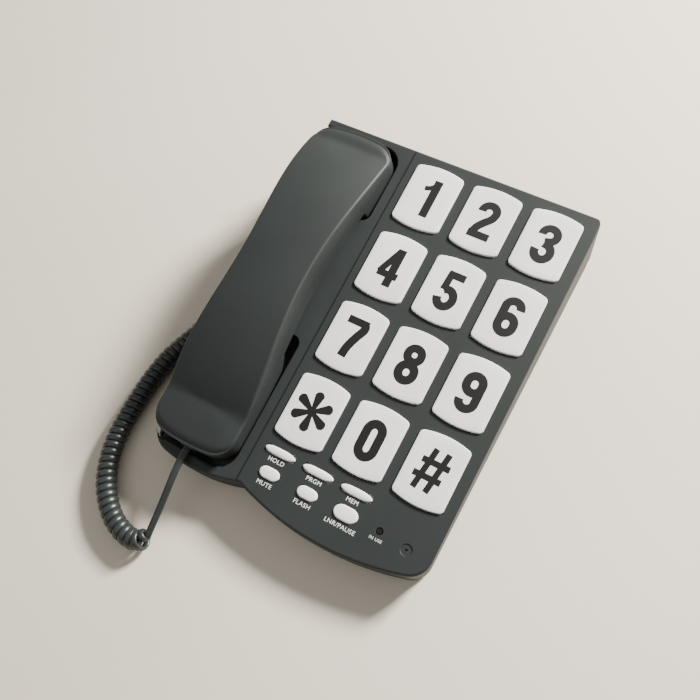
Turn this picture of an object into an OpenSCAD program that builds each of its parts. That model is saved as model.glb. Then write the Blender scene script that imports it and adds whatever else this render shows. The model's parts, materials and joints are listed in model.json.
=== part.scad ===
// Big-button desk telephone: a wedge base with a keypad, a handset lying in
// its cradle, and the curly cord between the two. The base stands on the
// plane Z = 0, with the user in front of it, at -Y.

/* [Base] */
// Width of the base, across the cradle and the keypad
base_w = 172; // [165:0.5:178]
// Depth of the base, front to back
base_d = 222.8; // [215:0.1:235]
// Height of the sloping face above the table, half way back
face_z = 33.5; // [31:0.5:40]
// Slope of the face towards the user, in degrees
face_tilt = 7; // [5:0.5:10]
// Height of the seam between the top and bottom shells
seam_z = 12; // [10:0.5:14]
// How far the walls lean in from top to bottom
wall_lean = 1.8; // [0.5:0.1:3]
// Wall thickness of both base shells
wall = 2.2; // [1.6:0.1:3]
// Reveal between the shells at the seam
seam_step = 0.6; // [0:0.1:1]
// Height of the rubber feet below the bottom shell
foot_h = 2; // [1:0.5:4]
// Diameter of a rubber foot
foot_d = 12; // [8:1:16]

/* [Keypad] */
// Width of a digit key
key_w = 29.4; // [24:0.2:30]
// Length of a digit key over its bowed ends
key_l = 39.5; // [34:0.5:40]
// How far each end of a key bows out
key_bow = 2.3; // [1:0.1:4]
// Distance between key columns
key_pitch_x = 36; // [35.5:0.1:38]
// Distance between key rows
key_pitch_y = 46.1; // [45.5:0.1:48]
// Height of the keys above the face
key_rise = 1.2; // [0.5:0.1:3]
// Travel of a digit key
key_travel = 1.8; // [1:0.1:2]
// Clearance around every key and button
key_gap = 0.35; // [0.2:0.05:0.6]
// Travel of a small button
button_travel = 1; // [0.6:0.1:1.4]

/* [Handset] */
// Length of the handset
handset_l = 204; // [196:1:206]
// Width of the handset at its two ends
handset_w = 51.2; // [46:0.2:51.2]
// Width of the handset at its waist
waist_w = 42.4; // [38:0.2:46]
// Height of the handset's back above the face, at its ends
handset_h = 12; // [11.5:0.5:16]
// How much higher the handset's back is at the waist
handset_arch = 15; // [8:0.5:16]
// Height of the seam between the handset's shells above the face
handset_seam = 9.5; // [8:0.5:11]
// Wall thickness of the handset's shells
handset_wall = 2; // [1.6:0.1:2.4]

/* [Cradle] */
// Depth of the pocket that holds the receiver end
ear_depth = 16; // [12:0.5:18]
// Depth of the pocket that holds the microphone end
mouth_depth = 6.8; // [6:0.1:8.4]
// Clearance between the handset and the cradle
cradle_gap = 0.6; // [0.4:0.1:1]
// Rise of the hook plunger when the handset is lifted
hook_travel = 3.5; // [2:0.5:4]
// Pitch of the sound slots under the handle
slot_pitch = 4.2; // [3.6:0.1:5]
// Width of a sound slot
slot_w = 1.6; // [1:0.1:2]

/* [Cord] */
// Outer diameter of the curly cord
coil_d = 12; // [10:0.5:14]
// Width of the straight lead
lead_w = 4.2; // [3:0.1:5]
// Thickness of the straight lead
lead_t = 2.4; // [2:0.1:3]

/* [Hidden] */

charcoal = "#3b403f";
key_grey = "#dadbda";
steel = "#b4b6b8";
board_green = "#2f6b3f";

// Base: the front and back edges of the face, in plan
half_w = base_w / 2;
half_d = base_d / 2;
face_back_z = face_z + half_d * tan(face_tilt);
face_front_z = face_z - half_d * tan(face_tilt);
function lean(z) = wall_lean * (face_back_z - z) / (face_back_z - foot_h);
front_y = -half_d - lean(face_front_z);

// The keypad half reaches further forward than the cradle half
pad_half_w = 58;
cradle_half_w = 30;
split_x = half_w - 2 * pad_half_w + 2;  // line of the groove between the halves
pad_x = half_w - pad_half_w;      // middle of the keypad half
pad_bow_r = 165;                  // bow of the keypad half's front
pad_corner_r = 14;
cradle_x = -half_w + cradle_half_w;  // middle of the cradle half
cradle_back = 4;                  // the cradle's front stops this much short
cradle_bow_r = 93;
cradle_corner_r = 15;
back_corner_r = 5;
horn_r = 2;                       // corner behind the receiver
half_lap = 4;                     // how far each half runs into the other
groove_w = 1.1;
groove_depth = 0.9;
skin = 0.01;                      // thickness of a slab that a hull starts from
past = 1;                         // how far a cut runs past what it cuts
tray_gap = 0.2;

// Stack under the face, as depths below it
flange = 1;                       // how far a key's flange stands out
flange_top = wall + 0.2;
flange_t = 1.2;
stem_t = 1.6;
mat_pad_top = flange_top + flange_t + stem_t + key_travel + 0.2;
mat_pad_t = 1;
mat_t = 1;
board_t = 1.6;
board_top = mat_pad_top + mat_pad_t + mat_t;
board_under = board_top + board_t;
pad_y = 17.25;                    // middle of the key grid, along the face
first_key_y = pad_y + 1.5 * key_pitch_y;
last_key_y = pad_y - 1.5 * key_pitch_y;

// Small buttons: [x, y] along the face, then [width, length]
bar_y = last_key_y - 27.45;
knob_y = last_key_y - 39.65;
bar_size = [18.5, 4.5];
oval_size = [12, 6.5];
redial_size = [14, 8];
button_x = [pad_x - 40.8, pad_x - 17.2, pad_x + 6.2];
button_rise = 0.9;
lamp_d = 3;
lamp_at = [pad_x + 26, knob_y + 0.3];
dimple_at = [pad_x + 42.5, knob_y - 1.7];
dimple_d = 6;
pinhole_d = 1.2;

// Handset: its middle, its ends and its waist, along the face
handset_x = -half_w + 0.2 + handset_w / 2;
handset_y = 2.75;
ear_end = handset_y + handset_l / 2;
mouth_end = handset_y - handset_l / 2;
waist_y = 10.25;
waist_reach = 74;
arch_reach = 84;
handset_corner_r = 13;
handset_bow_r = 110;
handle_under = 4;                 // height of the handle's underside
cup_inset = 4.2;                  // the cups are this much narrower each side
sill = 5.5;                       // depth of the cradle's open left side
ear_start = 59.5;                 // where the receiver pocket starts
mouth_stop = -18;                 // where the microphone pocket stops
pocket_x = handset_x + handset_w / 2 + cradle_gap;
ear_back = ear_end + 2.2;
mouth_front = mouth_end - 2.4;
pocket_r = 11;
pocket_heel_r = 5;                // where a pocket meets the bridge
pocket_t = 2;
seat_gap = 0.05;
step_back = 11;                   // run of each ramp from a cup to the handle

// Hook plunger in the floor of the receiver pocket
hook_at = [handset_x, 72];
hook_d = 7;
hook_gap = 0.25;
hook_flange_d = 11;
hook_flange_top = ear_depth + pocket_t + hook_travel + 0.3;
hook_flange_t = 1.5;
hook_spring_l = 6;
hook_board_top = hook_flange_top + hook_flange_t + hook_spring_l;
hook_post_x = 13;

// Sound slots and ringer under the handle
slot_count = 9;
slot_first_y = -4.75;
slot_l = 38;
slot_right = handset_x + 18.7;
ringer_d = 36;
ringer_t = 7;

// Sockets
plug_size = [7.6, 12, 5.8];       // width, length, height
plug_gap = 0.2;
plug_stands = 0.4;                // how far a plug stands out of its socket
port_wall = 1.6;
base_port_y = 4;
base_port_z = 18.5;
handset_port_h = 3.2;
line_port_x = 38;
line_port_z = 21;
line_mouth = [11.8, 8.6];
slider_x = [-8, 14];
slider_z = 20;
slider_size = [4, 2.6];
slider_travel = 4;
slider_gap = 0.4;

// Screws: [x, y] in plan for the base, and along the face for the board
base_bosses = [
    [handset_x + 4, 92], [handset_x, -62], [pad_x + 18, 62.9],
    [pad_x - 18, -28.6], [pad_x + 30, -80]
];
board_bosses = [
    [pad_x - 18, pad_y + key_pitch_y], [pad_x - 18, pad_y],
    [pad_x + 18, pad_y], [pad_x + 18, pad_y - key_pitch_y]
];
main_bosses = [[-14, 34], [66, 34], [-14, 92], [66, 92]];
screw_d = 2.6;
screw_play = 0.08;
screw_grip = 5;                   // length of a screw past the wall it holds
screw_head_d = 5;
screw_head_t = 1.2;
head_well = 1.3;                  // depth of the well for a screw's head
boss_d = 5.6;
small_screw_d = 1.8;
small_boss_d = 4.2;
handset_boss_y = [handset_y + 46, handset_y - 24];

// Main board on the bottom shell's floor
floor_z = foot_h + wall;
main_board_z = floor_z + 4;
main_board_box = [[-20, 28], [72, half_d - 7.4]];

// The cord lies on the table; its points are chosen by hand
coil_route = [
    [-96.5, -18, 10.5], [-99.5, -29, 9], [-103, -37.5, 7.4], [-106.5, -46, 6.5],
    [-109.6, -56, 6.2], [-111.3, -70, 6.2], [-111.5, -84, 6.2],
    [-111, -98, 6.2], [-109.5, -111, 6.2], [-106, -123, 6.2],
    [-100.5, -134, 6.2], [-93, -143, 6.2], [-84, -150, 6.2],
    [-74, -154, 6.3], [-64.5, -154.5, 7], [-59, -150.5, 9]
];
lead_handset_route = [
    [-60.2, -99.5, 24.6], [-60, -105, 24.6], [-59.6, -112, 24],
    [-59.2, -119, 22], [-59, -127, 18.6], [-59, -135, 15],
    [-59, -143, 12], [-59, -150.5, 9]
];
lead_base_route = [
    [-96.5, -18, 10.5], [-97.5, -10, 13], [-97, -2.5, 15.8], [-94, 2.5, 17.6],
    [-90, 4, 18.4], [-84.6, 4, 18.5]
];

// --- Shapes -------------------------------------------------------------

function arc(c, r, a0, a1, n) =
    [for (i = [0:n]) let(a = a0 + (a1 - a0) * i / n) c + r * [cos(a), sin(a)]];

function inner(points) = [for (i = [1:len(points) - 2]) points[i]];

// The far end of an outline at y = reach: straight sides at x = +-hw run into
// corners of radius r, and an arc of radius bow_r joins those.
function bowed_end(hw, reach, bow_r, r, n = 12) =
    let(
        fx = hw - r,
        fy = sqrt(pow(bow_r - r, 2) - fx * fx),
        cy = reach - bow_r,
        a = atan2(fy, fx)
    )
    concat(
        arc([fx, cy + fy], r, 0, a, 6),
        inner(arc([0, cy], bow_r, a, 180 - a, n)),
        arc([-fx, cy + fy], r, 180 - a, 180, 6)
    );

function flipped(points) = [for (p = points) -p];
function moved(points, by) = [for (p = points) p + by];
function bow_radius(hw, bow) = (hw * hw + bow * bow) / (2 * bow);

// Half of the base in plan, inset all round but on its inner side, which lies
// inside the other half; side is 1 if its outer side is on the right, else -1
module base_half(side, x, hw, reach, bow_r, corner_r, back_r, inset) {
    bow = bow_r - inset;
    corner = corner_r - inset;
    b = max(back_r - inset, 0.4);
    outer = hw - inset;
    near = side * (split_x - x) - half_lap;
    back = half_d - inset;
    fx = outer - corner;
    fy = sqrt(pow(bow - corner, 2) - fx * fx);
    cy = reach + inset + bow;
    a = atan2(fy, fx);
    points = concat(
        [[near, back]],
        arc([outer - b, back - b], b, 90, 0, 5),
        arc([fx, cy - fy], corner, 0, -a, 6),
        inner(arc([0, cy], bow, -a, -acos(near / bow), 16)),
        [[near, cy - sqrt(bow * bow - near * near)]]
    );
    polygon([for (p = points) [x + side * p.x, p.y]]);
}

module drafted_half(side, x, hw, reach, bow_r, corner_r, back_r, inset) {
    hull() {
        translate([0, 0, face_back_z])
            linear_extrude(skin)
                base_half(side, x, hw, reach, bow_r, corner_r, back_r, inset);
        translate([0, 0, foot_h])
            linear_extrude(skin)
                base_half(side, x, hw, reach, bow_r, corner_r, back_r, inset + wall_lean);
    }
}

// The whole base as a solid whose walls lean in towards the table
module base_body(inset) {
    drafted_half(1, pad_x, pad_half_w, front_y,
                 pad_bow_r, pad_corner_r, back_corner_r, inset);
    drafted_half(-1, cradle_x, cradle_half_w, front_y + cradle_back,
                 cradle_bow_r, cradle_corner_r, horn_r, inset);
}

// Frame of the sloping face: x to the right, y up the slope, z out of it
module on_face() {
    translate([0, 0, face_z])
        rotate([face_tilt, 0, 0])
            children();
}

module below_face(depth) {
    on_face()
        translate([-base_w, -base_d, -120 - depth])
            cube([2 * base_w, 2 * base_d, 120]);
}

module above_seam(z) {
    translate([-base_w, -base_d, z])
        cube([2 * base_w, 2 * base_d, 120]);
}

function key_end(w, l, bow, grow, r) =
    bowed_end(w / 2 + grow, l / 2 + grow, bow_radius(w / 2, bow) + grow, r + grow, 8);

function key_outline(w, l, bow, grow = 0, r = 2.5) =
    concat(key_end(w, l, bow, grow, r), flipped(key_end(w, l, bow, grow, r)));

// A bar with round ends, which are true circles
module round_bar(size, grow = 0) {
    r = min(size.x, size.y) / 2 + grow;
    dx = (size.x - min(size.x, size.y)) / 2;
    translate([-dx, 0])
        circle(r = r, $fn = 48);
    translate([dx, 0])
        circle(r = r, $fn = 48);
    translate([-dx, -r])
        square([2 * dx, 2 * r]);
}

// --- Base shells --------------------------------------------------------

function key_at(column, row) =
    [pad_x + (column - 1) * key_pitch_x, first_key_y - row * key_pitch_y];

module keypad_holes() {
    for (row = [0:3], column = [0:2])
        translate(concat(key_at(column, row), -wall - past))
            linear_extrude(wall + 2 * past)
                polygon(key_outline(key_w, key_l, key_bow, key_gap));
    for (i = [0:2])
        translate([button_x[i], bar_y, -wall - past])
            linear_extrude(wall + 2 * past)
                round_bar(bar_size, key_gap);
    for (i = [0:2])
        translate([button_x[i], knob_y, -wall - past])
            linear_extrude(wall + 2 * past)
                round_bar(i == 2 ? redial_size : oval_size, key_gap);
    translate(concat(lamp_at, -wall - past))
        cylinder(d = lamp_d + 2 * key_gap, h = wall + 2 * past, $fn = 32);
    translate(concat(dimple_at, -0.4))
        cylinder(d = dimple_d, h = past, $fn = 48);
    translate(concat(dimple_at, -wall - past))
        cylinder(d = pinhole_d, h = wall + 2 * past, $fn = 24);
}

// Outline of a cradle pocket, grown by that much; its left side is straight
module pocket_outline(y0, y1, left, grow, front_r, back_r) {
    right = pocket_x + grow;
    polygon(concat(
        [[left, y0 - grow]],
        arc([right - front_r, y0 - grow + front_r], front_r, 270, 360, 6),
        arc([right - back_r, y1 + grow - back_r], back_r, 0, 90, 6),
        [[left, y1 + grow]]
    ));
}

module ear_pocket(left, grow, low, high) {
    translate([0, 0, low])
        linear_extrude(high - low)
            pocket_outline(ear_start, ear_back, left, grow, pocket_heel_r + grow,
                           pocket_r + grow);
}

module mouth_pocket(left, grow, low, high) {
    translate([0, 0, low])
        linear_extrude(high - low)
            pocket_outline(mouth_front, mouth_stop, left, grow, pocket_r + grow,
                           pocket_heel_r + grow);
}

cup_left = handset_x - handset_w / 2 + cup_inset - cradle_gap;

module pocket_tubs() {
    ear_pocket(cup_left - pocket_t, pocket_t, -ear_depth - pocket_t, -wall / 2);
    mouth_pocket(cup_left - pocket_t, pocket_t, -mouth_depth - pocket_t, -wall / 2);
}

module pocket_voids() {
    ear_pocket(cup_left, 0, -ear_depth, past);
    mouth_pocket(cup_left, 0, -mouth_depth, past);
    ear_pocket(-base_w, 0, -sill, past);
    mouth_pocket(-base_w, 0, -sill, past);
}

module sound_slots() {
    for (i = [0:slot_count - 1])
        translate([slot_right - slot_l / 2, slot_first_y + i * slot_pitch, -wall - past])
            linear_extrude(wall + 2 * past)
                round_bar([slot_l, slot_w]);
}

module groove() {
    translate([split_x - groove_w / 2, -base_d, -groove_depth])
        cube([groove_w, 2 * base_d, groove_depth + past]);
}

module hook_posts() {
    for (side = [-1, 1])
        translate([hook_at.x + side * hook_post_x, hook_at.y, -hook_board_top])
            cylinder(d = small_boss_d, h = hook_board_top - ear_depth - pocket_t / 2, $fn = 32);
}

// A boss from the bottom shell's floor up into the top shell
module base_boss(at) {
    translate([at.x, at.y, floor_z])
        cylinder(d = boss_d, h = 60, $fn = 40);
}

module board_boss(at) {
    translate([at.x, at.y, -board_top])
        cylinder(d = small_boss_d, h = board_top - wall / 2, $fn = 32);
}

module top_shell_walls() {
    difference() {
        intersection() {
            base_body(0);
            below_face(0);
            above_seam(seam_z);
        }
        intersection() {
            base_body(wall);
            below_face(wall);
            above_seam(seam_z - past);
        }
    }
}

// Room inside the bottom shell's walls, for what hangs below the seam
module tray_room() {
    inset = seam_step + wall + wall_lean + tray_gap;
    translate([0, 0, floor_z])
        linear_extrude(seam_z - floor_z) {
            base_half(1, pad_x, pad_half_w, front_y,
                      pad_bow_r, pad_corner_r, back_corner_r, inset);
            base_half(-1, cradle_x, cradle_half_w, front_y + cradle_back,
                      cradle_bow_r, cradle_corner_r, horn_r, inset);
        }
}

module top_shell_inside() {
    intersection() {
        union() {
            on_face() {
                pocket_tubs();
                hook_posts();
                for (at = board_bosses)
                    board_boss(at);
            }
            for (at = base_bosses)
                base_boss(at);
        }
        base_body(wall / 2);
        below_face(wall / 2);
        union() {
            above_seam(seam_z);
            tray_room();
        }
    }
}

module port_mouth_left() {
    translate([-half_w - past, base_port_y, base_port_z])
        rotate([0, 90, 0])
            linear_extrude(8)
                square([plug_size.z + 2, plug_size.x + 2], center = true);
}

module back_wall_mouths() {
    translate([line_port_x, half_d - 6, line_port_z])
        rotate([-90, 0, 0])
            linear_extrude(10)
                square(line_mouth, center = true);
    for (x = slider_x)
        translate([x + slider_travel / 2, half_d - 6, slider_z])
            rotate([-90, 0, 0])
                linear_extrude(10)
                    square([slider_size.x + slider_travel + 2 * slider_gap,
                            slider_size.y + 2 * slider_gap], center = true);
}

module base_top_shell() {
    color(charcoal)
        difference() {
            union() {
                top_shell_walls();
                top_shell_inside();
            }
            on_face() {
                keypad_holes();
                pocket_voids();
                sound_slots();
                groove();
                translate(concat(hook_at, -ear_depth - pocket_t - past))
                    cylinder(d = hook_d + 2 * hook_gap, h = pocket_t + 2 * past, $fn = 48);
                for (at = board_bosses)
                    translate([at.x, at.y, -board_top - past])
                        cylinder(d = small_screw_d + 2 * screw_play, h = 6 + past, $fn = 24);
                for (side = [-1, 1])
                    translate([hook_at.x + side * hook_post_x, hook_at.y, -hook_board_top - past])
                        cylinder(d = small_screw_d + 2 * screw_play, h = 6 + past, $fn = 24);
            }
            for (at = base_bosses)
                translate([at.x, at.y, floor_z - past])
                    cylinder(d = screw_d + 2 * screw_play,
                             h = past + head_well + screw_grip + 0.5, $fn = 32);
            port_mouth_left();
            back_wall_mouths();
        }
}

foot_spots = [
    [-half_w + 18, -half_d + 34], [half_w - 18, -half_d + 26],
    [-half_w + 18, half_d - 16], [half_w - 18, half_d - 16]
];
foot_sunk = 0.8;

module base_bottom_shell() {
    color(charcoal)
        difference() {
            union() {
                difference() {
                    intersection() {
                        base_body(seam_step);
                        translate([-base_w, -base_d, foot_h])
                            cube([2 * base_w, 2 * base_d, seam_z - foot_h]);
                    }
                    intersection() {
                        base_body(seam_step + wall);
                        above_seam(floor_z);
                    }
                }
                for (at = main_bosses)
                    translate([at.x, at.y, floor_z - wall / 2])
                        cylinder(d = boss_d, h = main_board_z - floor_z + wall / 2, $fn = 32);
            }
            for (at = base_bosses) {
                translate([at.x, at.y, foot_h - past])
                    cylinder(d = screw_d + 2 * screw_play, h = wall + 2 * past, $fn = 32);
                translate([at.x, at.y, foot_h - past])
                    cylinder(d = screw_head_d + 0.4, h = past + head_well, $fn = 32);
            }
            for (at = main_bosses)
                translate([at.x, at.y, floor_z])
                    cylinder(d = small_screw_d + 2 * screw_play, h = 8, $fn = 24);
            for (at = foot_spots)
                translate([at.x, at.y, foot_h - past])
                    cylinder(d = foot_d + 0.4, h = past + foot_sunk, $fn = 48);
        }
}

module rubber_feet() {
    color("#222222")
        for (at = foot_spots)
            translate([at.x, at.y, 0])
                cylinder(d = foot_d, h = foot_h + foot_sunk, $fn = 48);
}

module screw(d, l, head_d, head_t) {
    cylinder(d = head_d, h = head_t, $fn = 32);
    translate([0, 0, head_t])
        cylinder(d = d, h = l, $fn = 32);
}

module base_screws() {
    color(steel)
        for (at = base_bosses)
            translate([at.x, at.y, foot_h + head_well - screw_head_t])
                screw(screw_d, wall + screw_grip, screw_head_d, screw_head_t);
}

module board_screws() {
    color(steel) {
        on_face() {
            for (at = board_bosses)
                translate([at.x, at.y, -board_under - 1])
                    screw(small_screw_d, board_t + 4, 3.6, 1);
            for (side = [-1, 1])
                translate([hook_at.x + side * hook_post_x, hook_at.y,
                           -hook_board_top - board_t - 1])
                    screw(small_screw_d, board_t + 4, 3.6, 1);
        }
        for (at = main_bosses)
            translate([at.x, at.y, main_board_z + board_t + 1])
                mirror([0, 0, 1])
                    screw(small_screw_d, board_t + 3, 3.6, 1);
    }
}

// --- Keys and buttons ---------------------------------------------------

module digit_key(column, row) {
    color(key_grey)
        on_face()
            translate(key_at(column, row)) {
                translate([0, 0, -flange_top])
                    linear_extrude(flange_top + key_rise)
                        polygon(key_outline(key_w, key_l, key_bow));
                translate([0, 0, -flange_top - flange_t])
                    linear_extrude(flange_t)
                        polygon(key_outline(key_w, key_l, key_bow, flange));
                translate([0, 0, -flange_top - flange_t - stem_t])
                    cylinder(d = 9, h = stem_t, $fn = 40);
            }
}

module small_button(x, y, size) {
    reach = stem_t + key_travel - button_travel;
    color(key_grey)
        on_face()
            translate([x, y, 0]) {
                translate([0, 0, -flange_top])
                    linear_extrude(flange_top + button_rise)
                        round_bar(size);
                translate([0, 0, -flange_top - flange_t])
                    linear_extrude(flange_t)
                        round_bar(size, flange);
                translate([0, 0, -flange_top - flange_t - reach])
                    cylinder(d = 3.6, h = reach, $fn = 32);
            }
}

module key_1() { digit_key(0, 0); }
module key_2() { digit_key(1, 0); }
module key_3() { digit_key(2, 0); }
module key_4() { digit_key(0, 1); }
module key_5() { digit_key(1, 1); }
module key_6() { digit_key(2, 1); }
module key_7() { digit_key(0, 2); }
module key_8() { digit_key(1, 2); }
module key_9() { digit_key(2, 2); }
module key_star() { digit_key(0, 3); }
module key_0() { digit_key(1, 3); }
module key_hash() { digit_key(2, 3); }
module hold_button() { small_button(button_x[0], bar_y, bar_size); }
module program_button() { small_button(button_x[1], bar_y, bar_size); }
module memory_button() { small_button(button_x[2], bar_y, bar_size); }
module mute_button() { small_button(button_x[0], knob_y, oval_size); }
module flash_button() { small_button(button_x[1], knob_y, oval_size); }
module redial_button() { small_button(button_x[2], knob_y, redial_size); }

// --- Electronics --------------------------------------------------------

board_left = split_x + 4;
board_right = half_w - wall - wall_lean - 1.2;
board_front = -half_d + 13;
board_back = half_d - 5;

module board_sheet(thick) {
    r = 12;
    linear_extrude(thick)
        polygon(concat(
            [[board_left, board_front]],
            arc([board_right - r, board_front + r], r, 270, 360, 6),
            [[board_right, board_back], [board_left, board_back]]
        ));
}

// Room for the top shell's bosses where they pass through a sheet
module boss_room() {
    for (at = base_bosses)
        if (at.x > split_x)
            translate([at.x, at.y, 0])
                cylinder(d = boss_d + 1.2, h = 80, $fn = 40);
}

module key_mat() {
    color("#c9ccc8")
        difference() {
            on_face() {
                translate([0, 0, -board_top])
                    board_sheet(mat_t);
                for (row = [0:3], column = [0:2])
                    translate(concat(key_at(column, row), -board_top + mat_t / 2))
                        cylinder(d = 12, h = mat_t / 2 + mat_pad_t, $fn = 40);
                for (i = [0:2], y = [bar_y, knob_y])
                    translate([button_x[i], y, -board_top + mat_t / 2])
                        cylinder(d = 5, h = mat_t / 2 + mat_pad_t, $fn = 32);
            }
            on_face() {
                for (at = board_bosses)
                    translate([at.x, at.y, -board_top - past])
                        cylinder(d = small_boss_d + 0.8, h = 6, $fn = 32);
                translate(concat(lamp_at, -board_top - past))
                    cylinder(d = lamp_d + 1.2, h = 6, $fn = 32);
            }
            boss_room();
        }
}

module keypad_board() {
    color(board_green)
        difference() {
            on_face()
                translate([0, 0, -board_under])
                    board_sheet(board_t);
            on_face()
                for (at = board_bosses)
                    translate([at.x, at.y, -board_under - past])
                        cylinder(d = small_screw_d + 0.4, h = board_t + 2 * past, $fn = 24);
            boss_room();
        }
}

module in_use_lamp() {
    color("#7a1414")
        on_face() {
            translate(concat(lamp_at, -board_top))
                cylinder(d = lamp_d, h = board_top + 0.2, $fn = 32);
        }
}

module main_board() {
    low = main_board_box[0];
    high = main_board_box[1];
    color(board_green)
        difference() {
            union() {
                translate([low.x, low.y, main_board_z])
                    cube([high.x - low.x, high.y - low.y, board_t]);
                // line transformer, relay, capacitors and the dialler chip
                translate([40, 46, main_board_z + board_t / 2])
                    cube([18, 16, 10]);
                translate([4, 70, main_board_z + board_t / 2])
                    cube([16, 10, 8]);
                for (x = [28, 34], y = [76, 88])
                    translate([x - 2, y, main_board_z + board_t / 2])
                        cylinder(d = 5, h = 8, $fn = 32);
                translate([-2, 40, main_board_z + board_t / 2])
                    cube([28, 9, 4]);
            }
            for (at = main_bosses)
                translate([at.x, at.y, main_board_z - past])
                    cylinder(d = small_screw_d + 0.4, h = board_t + 2 * past, $fn = 24);
            boss_room();
        }
}

// Flat ribbon that carries the keypad's lines down to the main board
module ribbon_cable() {
    y = 30;
    top_z = face_z + y * tan(face_tilt) - board_under / cos(face_tilt) - 0.1;
    color("#9a9da0")
        translate([pad_x, y, main_board_z + board_t])
            cube([14, 0.8, top_z - main_board_z - board_t]);
}

module ringer_speaker() {
    color("#8c8f90")
        on_face()
            translate([handset_x, slot_first_y + (slot_count - 1) / 2 * slot_pitch,
                       -wall - ringer_t])
                cylinder(d = ringer_d, h = ringer_t, $fn = 64);
}

module hook_plunger() {
    color(charcoal)
        on_face()
            translate(concat(hook_at, 0)) {
                translate([0, 0, -hook_flange_top])
                    cylinder(d = hook_d, h = hook_flange_top - ear_depth, $fn = 48);
                translate([0, 0, -hook_flange_top - hook_flange_t])
                    cylinder(d = hook_flange_d, h = hook_flange_t, $fn = 48);
            }
}

module hook_spring() {
    color(steel)
        on_face()
            translate(concat(hook_at, -hook_board_top))
                difference() {
                    cylinder(d = 7, h = hook_spring_l, $fn = 40);
                    translate([0, 0, -past])
                        cylinder(d = 5.4, h = hook_spring_l + 2 * past, $fn = 40);
                }
}

module hook_switch() {
    color(board_green)
        on_face()
            difference() {
                union() {
                    translate([hook_at.x - 17, hook_at.y - 7, -hook_board_top - board_t])
                        cube([34, 14, board_t]);
                    translate(concat(hook_at, -hook_board_top - board_t / 2))
                        cylinder(d = 4, h = board_t / 2 + 2, $fn = 32);
                }
                for (side = [-1, 1])
                    translate([hook_at.x + side * hook_post_x, hook_at.y,
                               -hook_board_top - board_t - past])
                        cylinder(d = small_screw_d + 0.4, h = board_t + 2 * past, $fn = 24);
            }
}

// A modular socket, its mouth at the origin, its body behind it along +y
module socket_body(mouth, deep) {
    outer = [mouth.x + 2 * port_wall, deep + port_wall, mouth.y + 2 * port_wall];
    difference() {
        translate([-outer.x / 2, 0, -outer.z / 2])
            cube(outer);
        translate([-mouth.x / 2, -past, -mouth.y / 2])
            cube([mouth.x, deep + past, mouth.y]);
    }
}

plug_mouth = [plug_size.x + 2 * plug_gap, plug_size.z + 2 * plug_gap];
base_port_x = -half_w + lean(base_port_z - plug_size.z) + wall + 0.5;

module handset_port() {
    color("#2a2a2a")
        union() {
            translate([base_port_x, base_port_y, base_port_z])
                rotate([0, 0, -90])
                    socket_body(plug_mouth, plug_size.y - 1.5);
            foot_top = base_port_z - plug_mouth.y / 2 - port_wall / 2;
            translate([base_port_x + 1, base_port_y - 4, floor_z])
                cube([9, 8, foot_top - floor_z]);
        }
}

line_port_y = half_d - lean(line_port_z - line_mouth.y) - wall - 0.5;

module line_port() {
    color("#2a2a2a")
        union() {
            translate([line_port_x, line_port_y, line_port_z])
                rotate([0, 0, 180])
                    socket_body(line_mouth - [1, 1], 13);
            foot_top = line_port_z - line_mouth.y / 2;
            translate([line_port_x - 5, line_port_y - 12, main_board_z + board_t])
                cube([10, 8, foot_top - main_board_z - board_t]);
        }
}

slider_y = half_d - lean(slider_z - 4) - wall - 0.5;

module slider(x) {
    color("#2a2a2a")
        translate([x - slider_size.x / 2, slider_y - 1, slider_z - slider_size.y / 2])
            cube([slider_size.x, wall + 2.6, slider_size.y]);
}

module ringer_slider() { slider(slider_x[0]); }
module dial_slider() { slider(slider_x[1]); }

module slider_bodies() {
    body = [slider_size.x + slider_travel + 6, 6, slider_size.y + 5];
    color(steel)
        for (x = slider_x)
            translate([x + slider_travel / 2, slider_y, slider_z])
                difference() {
                    translate([-body.x / 2, -body.y, -body.z / 2])
                        cube(body);
                    translate([-slider_size.x / 2 - slider_travel / 2 - slider_gap, -1.6,
                               -slider_size.y / 2 - slider_gap])
                        cube([slider_size.x + slider_travel + 2 * slider_gap, 1.6 + past,
                              slider_size.y + 2 * slider_gap]);
                }
}

// --- Handset ------------------------------------------------------------

// 1 at the waist, 0 past its reach, with a smooth run between
function waist(y) = abs(y - waist_y) > waist_reach ? 0
    : (1 + cos(180 * (y - waist_y) / waist_reach)) / 2;
function half_width(y, inset) =
    handset_w / 2 - inset - (handset_w - waist_w) / 2 * waist(y);
// 1 at the waist: the back stays high, then falls to the ends
function arched(y) = max(0, 1 - pow(abs(y - waist_y) / arch_reach, 2.5));

side_steps = 24;

module handset_plan(inset) {
    r = handset_corner_r - inset;
    bow = handset_bow_r - inset;
    hw = handset_w / 2 - inset;
    far = moved(bowed_end(hw, handset_l / 2 - inset, bow, r, 8), [0, handset_y]);
    near = moved(flipped(bowed_end(hw, handset_l / 2 - inset, bow, r, 8)), [0, handset_y]);
    low = near[len(near) - 1].y;
    high = far[0].y;
    rise = [for (i = [1:side_steps - 1]) low + (high - low) * i / side_steps];
    fall = [for (i = [1:side_steps - 1]) high - (high - low) * i / side_steps];
    polygon(moved(concat(
        near,
        [for (y = rise) [half_width(y, inset), y]],
        far,
        [for (y = fall) [-half_width(y, inset), y]]
    ), [handset_x, 0]));
}

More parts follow.
